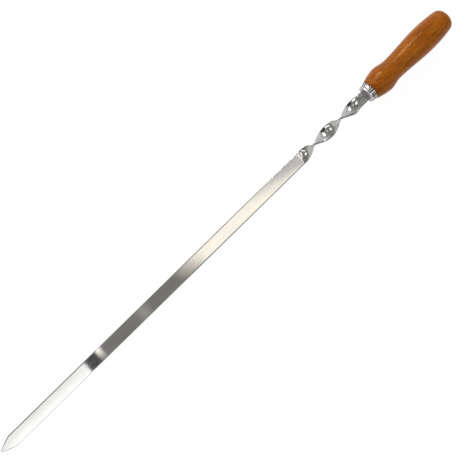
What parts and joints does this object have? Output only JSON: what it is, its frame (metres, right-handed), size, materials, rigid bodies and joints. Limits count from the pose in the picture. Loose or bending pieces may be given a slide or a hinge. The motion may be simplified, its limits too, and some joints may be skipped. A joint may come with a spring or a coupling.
{
  "type": "kebab skewer",
  "caption": "Long flat steel kebab skewer with a pointed end, a twisted neck, a pressed metal ferrule and a turned wooden handle.",
  "frame": {"origin": "centre of the bounding box: on the skewer's axis, halfway between the point and the butt", "axes": "+X along the skewer from the point to the handle; +Z square to the flat strip's broad face; +Y across the strip"},
  "size_m": [0.7, 0.0316, 0.0316],
  "materials": {
    "strip_steel": "brushed lengthwise, semi-bright",
    "ferrule_metal": "polished sheet steel",
    "handle_wood": "orange-brown stained wood under clear gloss lacquer",
    "adhesive": "cured resin, hidden inside the handle"
  },
  "bodies": {
    "root": {"blade": "strip_steel", "ferrule": "ferrule_metal", "handle": "handle_wood", "tang_adhesive": "adhesive"}
  },
  "joints": []
}
